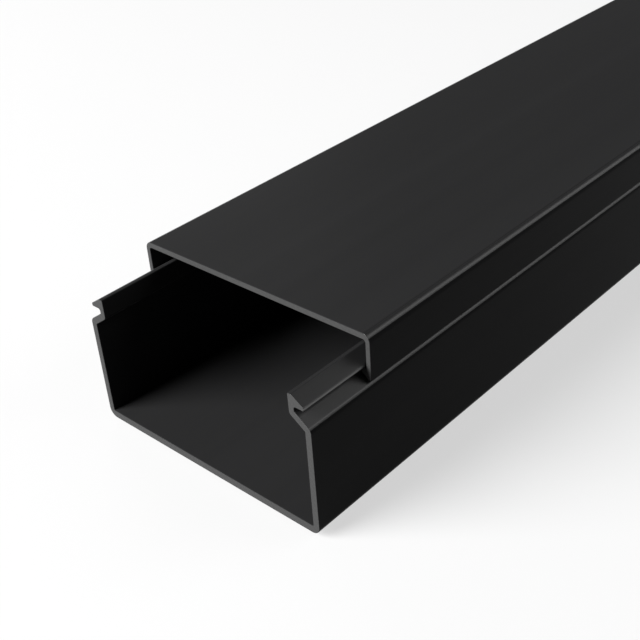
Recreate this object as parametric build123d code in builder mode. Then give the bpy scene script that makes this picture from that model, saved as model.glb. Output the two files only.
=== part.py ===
from build123d import *
from math import cos, radians, tan
import os

os.makedirs("parts", exist_ok=True)

# One length of two-piece cable trunking, lying on its back. Sizes are in millimetres.
# +X runs across the trunking, +Y along it and +Z up, from its back to the lid.
# The origin is on the back, under the middle of the base.

# Overall sizes. The height runs from the base's underside to the lid's top.
length = 1000.0
width = 60.0
height = 35.0

# The lid stands back from the base's near end, and as far out past the other end.
lid_setback = 16.3

# Channel of the base
wall = 1.5
floor_thickness = 1.8
bottom_radius = 2.0
floor_edge_radius = 0.3

# Sloped shoulder that leads from each wall in to its clip rail
shoulder_drop = 10.7
shoulder_angle = 35.0
shoulder_radius = 1.5
shoulder_inner_radius = 0.3
rail_foot_radius = 1.1

# Clip rail along each wall, with a barb that points outwards
rail_inset = 5.0
rail_thickness = 1.35
rail_drop = 4.6
rail_land = 0.9
barb_depth = 2.5
barb_nose = 0.7
groove_radius = 0.45
barb_radius = 0.3

# Lid
lid_thickness = 1.35
lid_leg = 1.1
lid_radius = 1.8
lid_inner_radius = 0.6
lip_radius = 0.4
hook_radius = 0.25

# Clearances between the lid and the base
side_reveal = 0.1
barb_clearance = 0.15
catch_clearance = 0.25
hook_clearance = 1.05
seat_clearance = 0.3

# Foam tape on the back, and the paper liner that covers its glue
tape_width = 30.0
tape_thickness = 0.8
tape_inset = 6.0
liner_thickness = 0.15
liner_overhang = 1.0

# Where the base and the lid start, measured up from the liner's outer face
backing = tape_thickness + liner_thickness
far_end = length / 2
base_section = Plane(origin=(0, far_end, backing), x_dir=(1, 0, 0), z_dir=(0, -1, 0))
lid_section = Plane(origin=(0, far_end + lid_setback, backing), x_dir=(1, 0, 0), z_dir=(0, -1, 0))

# Half widths, from the middle of the section outwards
wall_outside = width / 2
wall_inside = wall_outside - wall
rail_inside = wall_outside - rail_inset
rail_outside = rail_inside + rail_thickness
lid_outside = wall_outside - side_reveal
leg_inside = lid_outside - lid_leg
barb_tip = leg_inside - barb_clearance
hook_tip = rail_outside + hook_clearance

# Heights above the base's underside
shoulder_corner = height - shoulder_drop
rail_top = height - rail_drop
barb_underside = rail_top - barb_depth
lid_underside = height - lid_thickness
hook_top = barb_underside - catch_clearance


def shoulder_height(x, clearance=0.0):
    """Height of the shoulder's slope at half width x, moved square to itself by clearance."""
    rise = (wall_outside - x) * tan(radians(shoulder_angle))
    return shoulder_corner + rise + clearance / cos(radians(shoulder_angle))


# Half of the base's section, from the middle of its underside out and back to the middle
base_outline = [
    ((wall_outside, 0), bottom_radius),
    ((wall_outside, shoulder_corner), shoulder_radius),
    ((rail_outside, shoulder_height(rail_outside)), groove_radius),
    ((rail_outside, barb_underside), groove_radius),
    ((barb_tip, barb_underside), barb_radius),
    ((barb_tip, barb_underside + barb_nose), barb_radius),
    ((rail_inside + rail_land, rail_top), barb_radius),
    ((rail_inside, rail_top), barb_radius),
    ((rail_inside, shoulder_height(rail_inside, -wall)), rail_foot_radius),
    ((wall_inside, shoulder_height(wall_inside, -wall)), shoulder_inner_radius),
    ((wall_inside, floor_thickness), floor_edge_radius),
]

with BuildPart() as base:
    with BuildSketch(base_section):
        with BuildLine():
            FilletPolyline(
                (0, 0),
                *[corner for corner, radius in base_outline],
                (0, floor_thickness),
                radius=[radius for corner, radius in base_outline],
            )
            mirror(about=Plane.YZ)
        make_face()
    extrude(amount=length)

# Half of the lid's section, from the middle of its top out, round the hook and back
lid_outline = [
    ((lid_outside, height), lid_radius),
    ((lid_outside, shoulder_height(lid_outside, seat_clearance)), lip_radius),
    ((hook_tip, shoulder_height(hook_tip, seat_clearance)), hook_radius),
    ((hook_tip, hook_top), hook_radius),
    ((leg_inside, hook_top), hook_radius),
    ((leg_inside, lid_underside), lid_inner_radius),
]

with BuildPart() as lid:
    with BuildSketch(lid_section):
        with BuildLine():
            FilletPolyline(
                (0, height),
                *[corner for corner, radius in lid_outline],
                (0, lid_underside),
                radius=[radius for corner, radius in lid_outline],
            )
            mirror(about=Plane.YZ)
        make_face()
    extrude(amount=length)

# The tape stops short of both ends, and the liner stands out past it all round for peeling
tape_length = length - 2 * tape_inset

with BuildPart() as adhesive_tape:
    with BuildSketch(Plane.XY.offset(liner_thickness)):
        Rectangle(tape_width, tape_length)
    extrude(amount=tape_thickness)

with BuildPart() as release_liner:
    with BuildSketch(Plane.XY):
        Rectangle(tape_width + 2 * liner_overhang, tape_length + 2 * liner_overhang)
    extrude(amount=liner_thickness)

base.part.label = "base"
export_step(base.part, "parts/base.step")

lid.part.label = "lid"
export_step(lid.part, "parts/lid.step")

adhesive_tape.part.label = "adhesive_tape"
export_step(adhesive_tape.part, "parts/adhesive_tape.step")

release_liner.part.label = "release_liner"
export_step(release_liner.part, "parts/release_liner.step")
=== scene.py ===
# %% [markdown]
# # A length of adhesive cable trunking
#
# Cable trunking is a plastic channel that is stuck along a wall, with a lid that is clipped on
# once the cables are in. The one here is a metre long and lies on its back. It has four pieces:
# the base, which is the channel; the lid; a strip of foam tape on the base's back; and the paper
# liner that keeps the glue of the tape clean until the trunking goes up.
#
# Base and lid are extrusions: soft plastic is pushed through a steel die with a slot of the right
# shape, drawn off in one long string, cooled and sawn to length. So everything here follows one
# idea, an outline carried along a straight path.
#
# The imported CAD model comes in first. It is the fixed frame: it says where each piece is and
# which body it moves with, and nothing below shifts or resizes it.

import math

import bpy
import numpy as np
from mathutils import Euler, Matrix, Vector


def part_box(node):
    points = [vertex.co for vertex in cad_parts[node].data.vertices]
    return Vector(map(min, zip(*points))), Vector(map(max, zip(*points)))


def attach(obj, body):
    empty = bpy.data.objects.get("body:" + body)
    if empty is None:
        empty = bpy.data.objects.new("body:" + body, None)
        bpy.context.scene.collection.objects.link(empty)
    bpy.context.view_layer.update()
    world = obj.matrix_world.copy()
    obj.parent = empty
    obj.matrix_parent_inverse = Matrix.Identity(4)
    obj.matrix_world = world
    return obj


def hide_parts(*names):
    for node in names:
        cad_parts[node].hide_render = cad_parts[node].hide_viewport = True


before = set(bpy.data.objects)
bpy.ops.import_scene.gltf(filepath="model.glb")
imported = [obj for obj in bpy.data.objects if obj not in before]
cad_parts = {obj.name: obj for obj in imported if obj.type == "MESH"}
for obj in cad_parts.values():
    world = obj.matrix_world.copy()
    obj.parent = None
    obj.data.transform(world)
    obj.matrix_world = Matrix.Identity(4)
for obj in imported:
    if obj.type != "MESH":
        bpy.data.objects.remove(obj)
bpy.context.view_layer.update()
mm = 0.001


# %% [markdown]
# ## Camera
#
# The camera stands close to the near end and looks down along the trunking, so the end face
# shows large and the length runs away out of the picture. Its place is given from the near end
# of the base. A camera turns about three axes: its azimuth goes round the object, its elevation
# looks down on it, and its roll tips the picture. Blender's camera looks down its own -Z axis,
# so a turn about X lifts it to the horizon and a turn about Z swings it round.
#
# A lens is given by its focal length over a sensor 36 mm wide. Close up, a fairly long lens keeps
# the end face nearly undistorted.

# %% Camera
base_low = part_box("base")[0]
near_end = Vector((0, base_low.y, base_low.z))

camera_from_near_end = Vector((133.3, -101.8, 139.5)) * mm
camera_azimuth = math.radians(44.24)
camera_elevation = math.radians(32.65)
camera_roll = math.radians(4.42)
camera_lens = 61.2

upright = Euler((math.pi / 2 - camera_elevation, 0, camera_azimuth)).to_matrix()
tipped = upright @ Matrix.Rotation(-camera_roll, 3, "Z")

camera = bpy.data.objects.new("camera", bpy.data.cameras.new("camera"))
bpy.context.scene.collection.objects.link(camera)
camera.location = near_end + camera_from_near_end
camera.rotation_euler = tipped.to_euler()
camera.data.sensor_width = 36
camera.data.lens = camera_lens
camera.data.clip_start = 5 * mm
bpy.context.scene.camera = camera

print("camera to near end, mm:", round(camera_from_near_end.length / mm, 1))

# %% [markdown]
# ## From numbers to a mesh
#
# Every surface below is worked out as whole numpy arrays: a grid of points with one row for each
# step along the piece and one column for each point round it. Blender needs those points as a
# list and the faces as lists of point numbers. A grid that closes on itself joins its last column
# to its first, and each end is shut with one flat face.

# %% Faces of a grid
def tube_faces(rows, columns):
    """Quads between the rows of a grid whose last column joins its first.

    Point (row, column) has the number row * columns + column. Each quad goes from a point to the
    next row, on to the next column and back, which turns its face outwards when the columns run
    anticlockwise as seen from the first row.
    """
    number = np.arange(rows * columns).reshape(rows, columns)
    beside = np.roll(number, -1, axis=1)
    corners = [number[:-1], number[1:], beside[1:], beside[:-1]]
    return np.stack(corners, axis=-1).reshape(-1, 4)


# %% [markdown]
# ## Laid flat for baking
#
# Finishes can be baked: drawn once into a square picture that is wrapped round each piece. A map says
# which spot of the picture each corner of a face reads.
# Blender can lay a piece out by itself, but on a metre-long strip it gives every millimetre the
# same room, and the sawn ends, a millimetre and a half thick, get a single row of pixels. Here
# the sides are unrolled into the lower part of the picture, squeezed lengthwise, because their
# lines run lengthwise and change slowly. The two ends lie side by side above, much enlarged.

# %% Lay a tube flat
picture = 1024
side_share = 0.7
least_row = 2 / picture
end_gap = 8 / picture


def way_round(ring):
    """How far each point lies along a closed ring from its first point, with the full length last."""
    step = np.linalg.norm(np.roll(ring, -1, axis=0) - ring, axis=1)
    return np.concatenate([[0], np.cumsum(step)])


def lay_flat(mesh, grid):
    """Adds the bake map of a closed tube.

    A side point takes its share of the way round as u and its share of the way along as v, with
    at least least_row between two rows. An end point takes its x and z, both scaled alike so that
    an end fills half of the picture's width or all the height that is left.
    """
    around = way_round(grid[len(grid) // 2])
    around = around / around[-1]
    rise = np.maximum(np.diff(grid[:, 0, 1]) / np.ptp(grid[:, 0, 1]) * side_share, least_row)
    up = np.concatenate([[0], np.cumsum(rise)]) * side_share / rise.sum()
    left, right = np.broadcast_arrays(around[:-1], around[1:])
    low, high = up[:-1, None], up[1:, None]
    corners = [(left, low), (left, high), (right, high), (right, low)]
    sides = np.stack([np.stack(np.broadcast_arrays(u, v), axis=-1) for u, v in corners], axis=2)

    end = grid[0][:, [0, 2]]
    wide, tall = np.ptp(end, axis=0)
    scale = min((0.5 - 2 * end_gap) / wide, (1 - side_share - 2 * end_gap) / tall)
    near = (end - end.min(axis=0)) * scale + [end_gap, side_share + end_gap]
    far = (near * [-1, 1] + [1, 0])[::-1]
    spots = np.concatenate([sides.reshape(-1, 2), near, far])
    mesh.uv_layers.new(name="OFBake").data.foreach_set("uv", spots.astype(np.float32).ravel())


# %% Grid to mesh
def closed_tube(name, grid):
    """A mesh object from a grid of points, rows by columns by 3, with both ends shut."""
    rows, columns = grid.shape[:2]
    sides = tube_faces(rows, columns).tolist()
    near_face = list(range(columns))
    far_face = list(range(rows * columns - 1, (rows - 1) * columns - 1, -1))
    mesh = bpy.data.meshes.new(name)
    mesh.from_pydata(grid.reshape(-1, 3).tolist(), [], sides + [near_face, far_face])
    mesh.shade_smooth()
    lay_flat(mesh, grid)
    piece = bpy.data.objects.new(name, mesh)
    bpy.context.scene.collection.objects.link(piece)
    print(f"{name}: {len(mesh.vertices)} points, {len(mesh.polygons)} faces")
    return piece


# %% [markdown]
# ## The outline of an extrusion
#
# The base's outline has a clip rail on each wall with a barb that points outwards, and the lid's
# has short legs with hooks that point in under those barbs. All of that was drawn for the CAD
# model. It could be typed in again here, but then two files would hold the same sizes and could
# fall out of step. So the outline is read off the CAD node's sawn end.
#
# The end face comes as triangles in no useful order. An edge inside the face belongs to two
# triangles, once in each direction, and an edge of the outline belongs to one. Each such edge is
# a link from one corner to the next. Following the links one at a time would be slow in Python,
# so the walk doubles at each turn: the links taken twice are the links of the links.

# %% Walk along the links
def walk(link, first, count):
    """The corners met by following link from first, count of them.

    When m corners are known and jump leads m corners on, jump of those m gives the next m, and
    jump of jump leads 2m on.
    """
    order = np.array([first])
    jump = link
    while len(order) < count:
        order = np.concatenate([order, jump[order]])
        jump = jump[jump]
    return order[:count]


# %% Read the outline of a CAD node
# Digits of a metre that tell two spots apart, and a distance that counts as none.
spot_decimals = 7
hair = 0.001 * mm


def read_outline(node):
    """The outline of a CAD node's near end: rows of x and z, anticlockwise seen from that end."""
    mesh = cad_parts[node].data
    place = np.empty(len(mesh.vertices) * 3, np.float32)
    mesh.vertices.foreach_get("co", place)
    corner = np.empty(len(mesh.loops), np.int32)
    mesh.loops.foreach_get("vertex_index", corner)

    # The same spot of several triangles becomes one. Only the near end's triangles are kept.
    places = place.reshape(-1, 3).round(spot_decimals)
    spot, spot_of = np.unique(places, axis=0, return_inverse=True)
    triangle = spot_of.ravel()[corner].reshape(-1, 3)
    near = spot[:, 1] < spot[:, 1].min() + hair
    start = triangle[near[triangle].all(axis=1)]
    finish = np.roll(start, -1, axis=1)
    start, finish = start.ravel(), finish.ravel()

    # An edge whose reverse is there too lies inside the face.
    inside = np.isin(start * len(spot) + finish, finish * len(spot) + start)
    start, finish = start[~inside], finish[~inside]
    link = np.zeros(len(spot), int)
    link[start] = finish
    order = walk(link, start[0], len(start))
    return spot[order][:, [0, 2]].astype(float)


base_outline = read_outline("base")
lid_outline = read_outline("lid")
print("outline points:", len(base_outline), "round the base,", len(lid_outline), "round the lid")

# %% [markdown]
# ## Carried along, with sawn ends
#
# A saw leaves the ends flat and square, and the corner where the cut meets the skin is scraped
# just enough to take the burr off. It is a tenth of a millimetre or so and never quite even. On
# the screen that break is what catches a thin light at each end, and a knife-sharp corner would
# look like cut paper. A Bevel modifier could cut it, but would also round every fine corner of
# the clip rail. Here it is part of the grid: a few more rows near each end, whose points move in
# from the outline as they near the cut, along a quarter of a circle.
#
# Shading needs care as well. Next to a broad flat face lies a column of faces a twentieth of a
# millimetre wide, and a plain average of their directions would tip the light across the whole
# flat face. The direction at each point is therefore worked out from the outline, with each
# neighbour counting by its width.

# %% Which way an outline faces
def edge_facing(outline):
    """The outward direction of each edge, as long as the edge: (dx, dz) becomes (dz, -dx)."""
    edge = np.roll(outline, -1, axis=0) - outline
    return np.stack([edge[:, 1], -edge[:, 0]], axis=1)


def unit(rows):
    """Each row at length 1."""
    return rows / np.linalg.norm(rows, axis=1, keepdims=True)


def outward(outline):
    """The outward direction at each point: the sum of its two edges', so that each counts by length."""
    facing = edge_facing(outline)
    return unit(facing + np.roll(facing, 1, axis=0))


# %% Sawn extrusion
edge_break = 0.11 * mm
break_unevenness = 0.35
waves_round = np.array([7, 17, 41])
wave_starts = np.array([1, 2, 0])
break_steps = np.radians([90, 60, 30, 0])
row_spacing = 50 * mm


def uneven_break(outline):
    """The radius of the broken edge at each point: edge_break * (1 + break_unevenness * waves).

    The waves are the mean of three sine waves, each of which goes round the outline as often as
    waves_round says.
    """
    around = way_round(outline)
    lap = 2 * np.pi * around[:-1] / around[-1]
    waves = np.sin(np.outer(waves_round, lap) + wave_starts[:, None])
    return edge_break * (1 + break_unevenness * waves.mean(axis=0))


def sawn_extrusion(name, node, outline):
    """An outline carried from the near to the far end of a CAD node, with its cut edges broken.

    Row by row, turn runs from 90 degrees at the cut to 0 on the skin. With radius e, a point moves
    in from the outline by e * (1 - cos turn) and lies e * (1 - sin turn) from the cut, and its
    surface faces cos turn along the outline's direction and sin turn out of the end.
    """
    near, far = (corner.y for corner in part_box(node))
    facing = outward(outline)
    radius = uneven_break(outline)

    middle_rows = int((far - near) / row_spacing) - 1
    middle = np.linspace(near, far, middle_rows + 2)[1:-1]
    turn = np.concatenate([break_steps, np.zeros(middle_rows), break_steps[::-1]])
    end = np.repeat([-1, 0, 1], [len(break_steps), middle_rows, len(break_steps)])
    from_cut = np.outer(1 - np.sin(turn), radius)
    along = np.where(end[:, None] < 0, near + from_cut, far - from_cut)
    along[end == 0] = middle[:, None]

    inward = np.outer(1 - np.cos(turn), radius)
    grid = np.empty((len(turn), len(outline), 3))
    grid[..., 0] = outline[:, 0] - inward * facing[:, 0]
    grid[..., 1] = along
    grid[..., 2] = outline[:, 1] - inward * facing[:, 1]

    direction = np.empty_like(grid)
    direction[..., 0] = np.outer(np.cos(turn), facing[:, 0])
    direction[..., 1] = (end * np.sin(turn))[:, None]
    direction[..., 2] = np.outer(np.cos(turn), facing[:, 1])

    piece = closed_tube(name, grid)
    piece.data.normals_split_custom_set_from_vertices(direction.reshape(-1, 3).tolist())
    return piece


# %% Base and lid
channel = sawn_extrusion("channel", "base", base_outline)
cover = sawn_extrusion("cover", "lid", lid_outline)

# %% [markdown]
# ## Black plastic
#
# The plastic is rigid PVC, coloured right through with carbon black. Its skin took its finish
# from the steel of the die: even and satin, with faint lines along the length where the die has
# scratches, and slow streaks where the melt ran a little hotter or colder. Neither stands out, so
# the colour and the roughness shift by a few hundredths only, and the lines are about a
# thousandth of a millimetre deep.
#
# A noise texture looks the same in every direction. Its coordinates are therefore squeezed: the
# piece's own x and z are multiplied by a large number and y by a small one, which leaves long
# thin streaks. They run straight because the piece's own coordinates are used. Black plastic has
# to reflect little, or the pale studio would turn it grey, so its specular level is low.

# %% A new material and its patterns
def new_material(name):
    """A material and its shader."""
    material = bpy.data.materials.new(name)
    material.use_nodes = True
    return material, material.node_tree.nodes["Principled BSDF"]


def pattern(material, kind, finer, centre=(0, 0, 0), **values):
    """A texture node on the piece's own coordinates, counted from centre and multiplied by finer."""
    nodes, links = material.node_tree.nodes, material.node_tree.links
    place = nodes.new("ShaderNodeTexCoord")
    moved = nodes.new("ShaderNodeMapping")
    moved.vector_type = "TEXTURE"
    moved.inputs["Location"].default_value = centre
    moved.inputs["Scale"].default_value = [1 / side for side in finer]
    links.new(place.outputs["Object"], moved.inputs["Vector"])
    texture = nodes.new(kind)
    links.new(moved.outputs["Vector"], texture.inputs["Vector"])
    for name, value in values.items():
        texture.inputs[name].default_value = value
    return texture


def noise(material, finer, detail):
    """The grey output of a noise texture on the piece's own coordinates."""
    return pattern(material, "ShaderNodeTexNoise", finer, Scale=1, Detail=detail).outputs["Fac"]


# %% From a pattern to a number, a colour and a relief
def ranged(material, source, low, high, from_low=0.3, from_high=0.7):
    """Spreads the part of a pattern between from_low and from_high over low to high."""
    spread = material.node_tree.nodes.new("ShaderNodeMapRange")
    limits = {"From Min": from_low, "From Max": from_high, "To Min": low, "To Max": high}
    for name, value in limits.items():
        spread.inputs[name].default_value = value
    material.node_tree.links.new(source, spread.inputs["Value"])
    return spread.outputs["Result"]


def two_colours(material, share, first, second):
    """The first colour where share is 0, the second where it is 1, and between them a mix."""
    mix = material.node_tree.nodes.new("ShaderNodeMix")
    mix.data_type = "RGBA"
    material.node_tree.links.new(share, mix.inputs["Factor"])
    colour_inputs = [socket for socket in mix.inputs if socket.type == "RGBA"]
    for socket, colour in zip(colour_inputs, (first, second)):
        socket.default_value = (*colour, 1)
    return next(socket for socket in mix.outputs if socket.type == "RGBA")


def tinted(material, source, colour, low, high):
    """The colour, from low times to high times as bright as the pattern goes from dark to light."""
    dark, light = [[band * share for band in colour] for share in (low, high)]
    return two_colours(material, ranged(material, source, 0, 1), dark, light)


def relief(material, shader, source, depth, under=None):
    """Raises the surface by up to depth metres where the pattern is light, over another relief."""
    nodes, links = material.node_tree.nodes, material.node_tree.links
    bump = nodes.new("ShaderNodeBump")
    bump.inputs["Strength"].default_value = 1
    bump.inputs["Distance"].default_value = depth
    links.new(source, bump.inputs["Height"])
    if under is not None:
        links.new(under.outputs["Normal"], bump.inputs["Normal"])
    links.new(bump.outputs["Normal"], shader.inputs["Normal"])
    return bump


# %% Skin of the extrusion
pvc_black = (0.027, 0.027, 0.0275)
die_line_depth = 0.0012 * mm
dullness = 0.025

# By how much x, y and z are multiplied for each pattern.
die_lines = (1300, 4, 1300)
melt_streaks = (220, 1.5, 220)
dull_clouds = (35, 9, 35)


def drawn_pvc(name, roughness, specular_level):
    """PVC as the die leaves it: fine die lines, slow streaks of colour and clouds of roughness.

    The roughness is the given one, plus or minus up to dullness.
    """
    material, shader = new_material(name)
    links = material.node_tree.links
    streaks = noise(material, melt_streaks, detail=2)
    links.new(tinted(material, streaks, pvc_black, low=0.96, high=1.04), shader.inputs["Base Color"])
    clouds = noise(material, dull_clouds, detail=3)
    uneven = ranged(material, clouds, roughness - dullness, roughness + dullness)
    links.new(uneven, shader.inputs["Roughness"])
    relief(material, shader, noise(material, die_lines, detail=3), die_line_depth)
    shader.inputs["Specular IOR Level"].default_value = specular_level
    return material


skin = drawn_pvc("drawn_pvc", roughness=0.3, specular_level=0.012)
print("skin:", len(skin.node_tree.nodes), "nodes")

# %% [markdown]
# ## Rubbed slopes and corners
#
# The lid's lips wipe over the barbs and the shoulders each time it goes on or off, and the
# outside corners are where the plastic was pressed hardest against the die. They are shinier
# than the flats, and that shine is what draws the thin light lines along a length of trunking.
# These faces get a material of their own, with the same lines and streaks but more shine. Which
# faces they are follows from the outline: all that slope up and outwards, and the blunt nose of
# each barb, which the hooks scrape past.

# %% Rubbed faces
least_away = 0.3
least_up = 0.55
barb_height = 2.6 * mm
nose_depth = 0.25 * mm

rubbed = drawn_pvc("rubbed_pvc", roughness=0.36, specular_level=0.85)


def edge_middle(outline):
    """The middle of each edge."""
    return (outline + np.roll(outline, -1, axis=0)) / 2


def sloping(outline):
    """True for each edge that faces up by more than least_up and outwards by more than least_away."""
    facing = unit(edge_facing(outline))
    away = facing[:, 0] * np.sign(edge_middle(outline)[:, 0])
    return (away > least_away) & (facing[:, 1] > least_up)


def barb_nose(outline):
    """True for each edge at a barb's tip: among the edges in the top barb_height, the outermost."""
    middle = edge_middle(outline)
    high = middle[:, 1] > outline[:, 1].max() - barb_height
    out = np.abs(middle[:, 0])
    return high & (out > out[high].max() - nose_depth)


base_rubbed = sloping(base_outline) | barb_nose(base_outline)
lid_rubbed = sloping(lid_outline)
print("rubbed edges:", base_rubbed.sum(), "round the base,", lid_rubbed.sum(), "round the lid")

# %% [markdown]
# ## Sawn ends
#
# A circular saw leaves the cut face matt and a little paler than the skin, with arcs that follow
# the teeth round. The blade is far larger than the section, so the arcs are nearly straight and
# all curve about one centre below it. A wave texture in rings about that centre scores them into
# the face and dulls it between them, and a fine noise gives the torn plastic its grain.

# %% Cut plastic
cut_black = (0.056, 0.056, 0.056)
cut_grain = (2600, 2600, 2600)
grain_depth = 0.008 * mm
score_depth = 0.006 * mm
blade_centre = (-70 * mm, 0, -95 * mm)

# The place along Y hardly counts, so both ends are scored alike.
across_the_cut = (1, 0.001, 1)

# At a scale of 1 the rings of a wave texture lie pi / 10 apart, and here about a millimetre.
score_scale = 330


def cut_pvc(name):
    """PVC as the saw leaves it: matt, with scored arcs about the blade's centre and a fine grain."""
    material, shader = new_material(name)
    links = material.node_tree.links
    rings = pattern(material, "ShaderNodeTexWave", across_the_cut, blade_centre,
                    Scale=score_scale, Distortion=1.5, Detail=2)
    rings.wave_type = "RINGS"
    rings.rings_direction = "Y"
    arcs = rings.outputs["Fac"]
    grain = noise(material, cut_grain, detail=3)
    links.new(tinted(material, grain, cut_black, low=0.92, high=1.08), shader.inputs["Base Color"])
    dull = ranged(material, arcs, low=0.62, high=0.74, from_low=0, from_high=1)
    links.new(dull, shader.inputs["Roughness"])
    scored = relief(material, shader, arcs, score_depth)
    relief(material, shader, grain, grain_depth, under=scored)
    shader.inputs["Specular IOR Level"].default_value = 0.2
    return material


cut = cut_pvc("sawn_pvc")
print("cut plastic:", len(cut.node_tree.nodes), "nodes")

# %% Finish the base and the lid
skin_place, rubbed_place, cut_place = 0, 1, 2


def finish_extrusion(piece, rubbed_edges):
    """Cut plastic on both ends, and on each strip along the piece the rubbed finish or the skin.

    A face holds its material's place in the piece's list. The faces between two rows of the grid
    come in the order of the outline's edges, and the two ends come last.
    """
    for material in (skin, rubbed, cut):
        piece.data.materials.append(material)
    strips = np.where(rubbed_edges, rubbed_place, skin_place)
    ends = [cut_place, cut_place]
    rings = (len(piece.data.polygons) - len(ends)) // len(strips)
    choice = np.concatenate([np.tile(strips, rings), ends]).astype(np.int32)
    piece.data.polygons.foreach_set("material_index", choice)
    print(f"{piece.name}: faces of skin, rubbed and cut:", np.bincount(choice).tolist())


finish_extrusion(channel, base_rubbed)
finish_extrusion(cover, lid_rubbed)
for piece, node, body in ((channel, "base", "base"), (cover, "lid", "lid")):
    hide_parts(node)
    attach(piece, body)

# %% [markdown]
# ## Foam tape and its liner
#
# The foam is cut from a wide roll with a round knife. The knife squeezes it, so its sides spring
# back a little hollow and wander by a hair along the length. The liner under it is siliconised
# paper, a little wider than the foam so that a fingernail can lift it, and its free edges curl up
# from lying on a roll. Both are strips carried along a path as the extrusions are, but here the
# outline changes slowly on the way, which the grid takes as easily: a wave of the length is added
# to a whole column of points at once.

# %% A plain strip
rows_along = 200


def strip_outline(half_width, low, high, side_steps, top_steps):
    """A rectangle as rows of x and z, anticlockwise from its lower left corner, in even steps."""
    across = np.linspace(-half_width, half_width, top_steps + 1)
    up = np.linspace(low, high, side_steps + 1)
    bottom = np.stack([across, np.full_like(across, low)], axis=1)
    right = np.stack([np.full_like(up, half_width), up], axis=1)
    top = bottom[:0:-1] * [1, 0] + [0, high]
    left = right[:0:-1] * [-1, 1]
    return np.concatenate([bottom[:-1], right[:-1], top, left])


def strip_grid(node, side_steps, top_steps):
    """A plain strip where a CAD node is: its outline, its rows' places along Y, and its grid."""
    low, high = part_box(node)
    outline = strip_outline(high.x, low.z, high.z, side_steps, top_steps)
    along = np.linspace(low.y, high.y, rows_along)
    grid = np.empty((len(along), len(outline), 3))
    grid[..., 0] = outline[:, 0]
    grid[..., 1] = along[:, None]
    grid[..., 2] = outline[:, 1]
    return outline, along, grid


def slow_wave(along, lengths, start):
    """A wandering line between -1 and 1: the mean of sine waves of several lengths."""
    waves = [np.sin(2 * np.pi * along / length + start + 2 * k) for k, length in enumerate(lengths)]
    return np.mean(waves, axis=0)


# %% Foam with hollow sides
hollow_depth = 0.12 * mm
wander_depth = 0.1 * mm
wander_lengths = (0.31, 0.083, 0.027)
wander_starts = {-1: 0.0, 1: 2.2}


def foam_strip(name, node):
    """A strip whose sides are hollow and wander.

    A side moves in by hollow_depth * (1 - (2h - 1)^2), with h from 0 to 1 up it, and by up to
    twice wander_depth more along the length.
    """
    outline, along, grid = strip_grid(node, side_steps=8, top_steps=12)
    half_width = outline[:, 0].max()
    height_share = (outline[:, 1] - outline[:, 1].min()) / np.ptp(outline[:, 1])
    hollow = hollow_depth * (1 - (2 * height_share - 1) ** 2)
    for side, start in wander_starts.items():
        wander = wander_depth * (slow_wave(along, wander_lengths, start) - 1)
        chosen = outline[:, 0] * side > half_width - hair
        grid[:, chosen, 0] += side * (wander[:, None] - hollow[chosen])
    return closed_tube(name, grid)


tape = foam_strip("foam_tape", "adhesive_tape")

# %% Liner with curled edges
curl_height = 0.25 * mm
curl_unevenness = 0.5
curl_lengths = (0.4, 0.11, 0.047)
curl_start = 1.0


def curled_strip(name, node, held_half_width):
    """A thin strip whose edges, free of the foam past held_half_width, curl up.

    A point lifts by the curl times the square of free, which goes from 0 at the foam's side to 1
    at the strip's edge.
    """
    outline, along, grid = strip_grid(node, side_steps=2, top_steps=64)
    free_width = outline[:, 0].max() - held_half_width
    free = np.clip((np.abs(outline[:, 0]) - held_half_width) / free_width, 0, 1)
    curl = curl_height * (1 + curl_unevenness * slow_wave(along, curl_lengths, curl_start))
    grid[..., 2] += np.outer(curl, free**2)
    print(f"{name}: {free_width / mm:.2f} mm past the foam on each side")
    return closed_tube(name, grid)


tape_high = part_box("adhesive_tape")[1]
liner = curled_strip("liner", "release_liner", tape_high.x)

# %% [markdown]
# ## Foam and paper
#
# The foam is white polyethylene, full of closed cells a few tenths of a millimetre across, which show as
# fine pits where the knife went through. A Voronoi texture is the distance to the nearest of many
# scattered points, so it draws just such cells. The same distance darkens the colour towards the bottom of
# each pit, which is painted shade. The liner is a thin kraft paper with a silicone film: a little shiny,
# warm white, with fibres that lie mostly along the roll.

# %% Foam
foam_white = (0.78, 0.78, 0.76)
foam_cells = (4000, 2500, 4000)
pit_depth = 0.05 * mm


def cut_foam(name):
    """Matt white foam with a pit for each cell, whose bottom is painted darker as shade."""
    material, shader = new_material(name)
    cells = pattern(material, "ShaderNodeTexVoronoi", foam_cells, Scale=1).outputs["Distance"]
    # The colour darkens towards each pit's bottom, with the distance that digs the pit: painted shade in
    # the pits.
    colour = tinted(material, cells, foam_white, low=0.86, high=1.04)
    material.node_tree.links.new(colour, shader.inputs["Base Color"])
    relief(material, shader, cells, pit_depth)
    shader.inputs["Roughness"].default_value = 0.85
    shader.inputs["Specular IOR Level"].default_value = 0.3
    return material


# %% Paper
paper_white = (0.86, 0.84, 0.76)
paper_fibres = (1800, 350, 1800)
fibre_depth = 0.01 * mm
paper_flocks = (150, 90, 150)


def coated_paper(name):
    """Paper under a silicone film: slow flocks in its colour, and fibres in its gloss and relief."""
    material, shader = new_material(name)
    links = material.node_tree.links
    flocks = noise(material, paper_flocks, detail=3)
    links.new(tinted(material, flocks, paper_white, low=0.97, high=1.02), shader.inputs["Base Color"])
    fibres = noise(material, paper_fibres, detail=4)
    links.new(ranged(material, fibres, low=0.38, high=0.5), shader.inputs["Roughness"])
    relief(material, shader, fibres, fibre_depth)
    return material


# %% Finish the tape and the liner
strip_finishes = (
    (tape, "adhesive_tape", "foam_tape", cut_foam("tape_foam")),
    (liner, "release_liner", "liner_paper", coated_paper("liner_paper")),
)
crease_angle = math.radians(40)

for piece, node, slot, material in strip_finishes:
    piece.data.set_sharp_from_angle(angle=crease_angle)
    piece.data.materials.append(material)
    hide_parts(node)
    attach(piece, "base")
    print(f"{piece.name}: {material.name}, {len(material.node_tree.nodes)} nodes")

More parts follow.
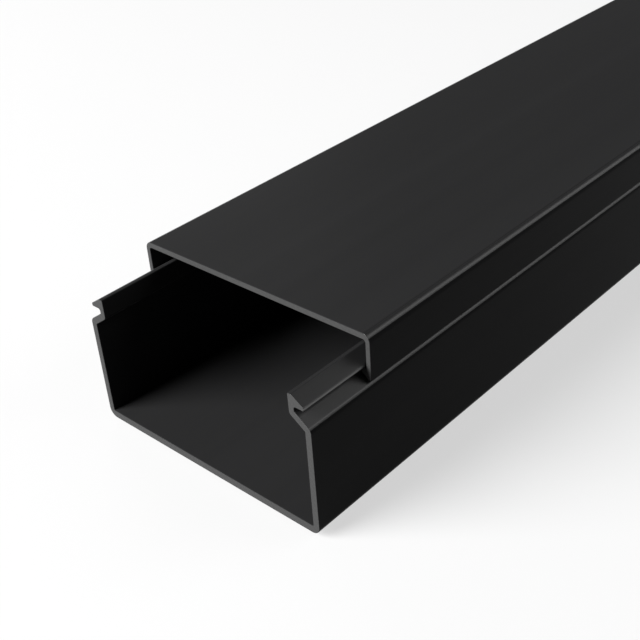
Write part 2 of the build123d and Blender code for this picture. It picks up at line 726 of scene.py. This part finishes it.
# %% [markdown]
# ## A pale floor
#
# Products are photographed on a sweep, a sheet that lies flat under the object and curves up
# behind it, so that no horizon shows. This floor curves up all round like a very wide dish,
# because the part is looked at from all sides. It is one surface: a radius and an angle give each
# point, and the height grows with the square of the distance past the flat part.

# %% Shape of the floor
flat_radius = 3.2
rim_radius = 6.0
rim_height = 1.0
middle_ring = 0.02
first_ring = 0.5
flat_steps = 6
curved_steps = 24
spoke_count = 96


def dish(radius, angle):
    """A flat floor that curves up: height = rim_height * t^2, t from 0 to 1 past the flat part."""
    past = np.clip((radius - flat_radius) / (rim_radius - flat_radius), 0, 1)
    return np.stack([radius * np.cos(angle), radius * np.sin(angle), rim_height * past**2], axis=-1)


flat_rings = np.linspace(first_ring, flat_radius, flat_steps)
curved_rings = np.linspace(flat_radius, rim_radius, curved_steps)[1:]
floor_rings = np.concatenate([[middle_ring], flat_rings, curved_rings])
spokes = np.linspace(0, 2 * np.pi, spoke_count, endpoint=False)
floor_grid = dish(*np.meshgrid(floor_rings, spokes, indexing="ij"))
face_up = tube_faces(*floor_grid.shape[:2])[:, ::-1].tolist()
middle_face = list(range(spoke_count))

floor_mesh = bpy.data.meshes.new("floor")
floor_mesh.from_pydata(floor_grid.reshape(-1, 3).tolist(), [], face_up + [middle_face])
floor_mesh.shade_smooth()
floor = bpy.data.objects.new("floor", floor_mesh)
bpy.context.scene.collection.objects.link(floor)
print("floor:", len(floor_mesh.polygons), "faces,", rim_radius * 2, "m across")

# %% [markdown]
# ## The floor's paper
#
# White paper beside black plastic throws so much light at its sides that they turn grey, while
# the real ones stay nearly black. A Light Path node tells what kind of ray asks for the colour.
# Bounced light gets a dark paper. The camera, mirror-like reflections and clear plastic get a
# pale one, and there part of the paper's own finish gives way to a glow, since a glow of 1 is
# plain white. Under the object the paper's finish keeps enough of a share to take the object's
# shadow. Further out the glow takes nearly all of it, and towards the rim it dims to about half.

# %% Which rays see the pale paper
def math_node(material, operation, first, second):
    """A Math node on two sockets."""
    node = material.node_tree.nodes.new("ShaderNodeMath")
    node.operation = operation
    material.node_tree.links.new(first, node.inputs[0])
    material.node_tree.links.new(second, node.inputs[1])
    return node.outputs["Value"]


def ray_that_looks(material):
    """1 for the camera's rays, reflections and rays through clear plastic, and 0 for other rays."""
    ray = material.node_tree.nodes.new("ShaderNodeLightPath").outputs
    camera_or_glossy = math_node(material, "MAXIMUM", ray["Is Camera Ray"], ray["Is Glossy Ray"])
    return math_node(material, "MAXIMUM", camera_or_glossy, ray["Is Transmission Ray"])


def blended(material, share, first, second, output):
    """Sends a mix of two shaders to the output: the first where share is 0, the second where 1."""
    links = material.node_tree.links
    blend = material.node_tree.nodes.new("ShaderNodeMixShader")
    links.new(share, blend.inputs["Fac"])
    links.new(first, blend.inputs[1])
    links.new(second, blend.inputs[2])
    links.new(blend.outputs["Shader"], material.node_tree.nodes[output].inputs["Surface"])


# %% Paper of the floor
pale = (0.92, 0.92, 0.92)
dark = (0.12, 0.12, 0.12)
shadow_radius = 0.8
glow_under = 0.6
beyond_radius = 2.0
glow_beyond = 0.95
strength_at_rim = 0.55

paper, shader = new_material("floor")
nodes, links = paper.node_tree.nodes, paper.node_tree.links
seen = ray_that_looks(paper)
links.new(two_colours(paper, seen, dark, pale), shader.inputs["Base Color"])
shader.inputs["Roughness"].default_value = 0.9
shader.inputs["Specular IOR Level"].default_value = 0

from_middle = nodes.new("ShaderNodeVectorMath")
from_middle.operation = "LENGTH"
links.new(nodes.new("ShaderNodeTexCoord").outputs["Object"], from_middle.inputs[0])
radius = from_middle.outputs["Value"]
glow = nodes.new("ShaderNodeEmission")
strength = ranged(paper, radius, 1, strength_at_rim, shadow_radius, rim_radius)
links.new(strength, glow.inputs["Strength"])
glow_share = ranged(paper, radius, glow_under, glow_beyond, shadow_radius, beyond_radius)
seen_glow = math_node(paper, "MULTIPLY", seen, glow_share)
blended(paper, seen_glow, shader.outputs["BSDF"], glow.outputs["Emission"], "Material Output")
paper.cycles.emission_sampling = "NONE"
floor.data.materials.append(paper)
print("floor paper:", len(nodes), "nodes")

# %% [markdown]
# ## The studio's light
#
# The room is almost dark. Only rays that look at it directly, or in a reflection, see a pale wall
# a little way up over the horizon, so that the floor doesn't end at a dark edge. In a world's
# nodes, Generated is the direction of the ray, and its Z says how high it goes.
#
# A large round softbox stands ahead of the near end on the left. It lights the end faces, reaches
# into the channel and throws a soft shadow to the right. A dimmer, smaller one stands on the left
# too, but further along, where the camera sees it mirrored in the near part of the lid.
#
# The sloped shoulders and the outer corners show thin light lines. Those are a reflection of
# something long: a lamp in line with the trunking, high on its right. It needs little light of
# its own. A lamp is given by the brightness of its face, because that is what a reflection shows.

# %% Room
room_strength = 0.02
wall_top = math.radians(8)
wall_fade = math.radians(12)

world = bpy.data.worlds.new("studio")
bpy.context.scene.world = world
world.use_nodes = True
world.cycles.sampling_method = "NONE"
nodes, links = world.node_tree.nodes, world.node_tree.links
dark_room = nodes["Background"]
pale_wall = nodes.new("ShaderNodeBackground")
for background, strength in ((dark_room, room_strength), (pale_wall, strength_at_rim)):
    background.inputs["Color"].default_value = (1, 1, 1, 1)
    background.inputs["Strength"].default_value = strength

direction = nodes.new("ShaderNodeSeparateXYZ")
links.new(nodes.new("ShaderNodeTexCoord").outputs["Generated"], direction.inputs["Vector"])
low_down = ranged(world, direction.outputs["Z"], 1, 0, math.sin(wall_top), math.sin(wall_fade))
seen_wall = math_node(world, "MULTIPLY", ray_that_looks(world), low_down)
blended(world, seen_wall, dark_room.outputs["Background"], pale_wall.outputs["Background"], "World Output")
print("room:", len(nodes), "nodes")

# %% Lamps
def area_lamp(name, shape, place, toward, size, size_y, radiance):
    """A flat lamp at a place, which shines against the direction toward and hides from the camera.

    Its watts are radiance * pi * area, so that a larger lamp of the same radiance looks no
    brighter in a reflection.
    """
    lamp = bpy.data.lights.new(name, "AREA")
    lamp.shape = shape
    lamp.size = size
    lamp.size_y = size_y
    area = size * size_y * (math.pi / 4 if shape == "DISK" else 1)
    lamp.energy = radiance * math.pi * area
    holder = bpy.data.objects.new(name, lamp)
    bpy.context.scene.collection.objects.link(holder)
    holder.location = place
    holder.rotation_euler = toward.to_track_quat("Z", "Y").to_euler()
    holder.visible_camera = False
    print(f"{name}: {lamp.energy:.1f} W")


def softbox(name, toward, distance, size, radiance):
    """A round lamp that faces the near end from a distance, in the direction toward."""
    direction = Vector(toward).normalized()
    area_lamp(name, "DISK", near_end + direction * distance, direction, size, size, radiance)


def strip_light(name, up, away, near, far, width, radiance):
    """A long lamp from near to far along Y, at the angle up over the lid's right edge.

    It lies away metres from that edge. A lamp's size is along its own X, which runs along Y here.
    """
    direction = Vector((math.cos(up), 0, math.sin(up)))
    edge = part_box("lid")[1]
    middle = Vector((edge.x, (near + far) / 2, edge.z))
    area_lamp(name, "RECTANGLE", middle + direction * away, direction, far - near, width, radiance)


softbox("key", toward=(-0.43, -0.79, 0.5), distance=2.0, size=1.5, radiance=15.9)
softbox("panel", toward=(-0.8, 0.5, 0.52), distance=1.5, size=0.8, radiance=1.0)
strip_light("strip", up=math.radians(45), away=1.2, near=-0.1, far=2.2, width=0.62, radiance=1.3)

bpy.context.scene.view_settings.view_transform = "Standard"
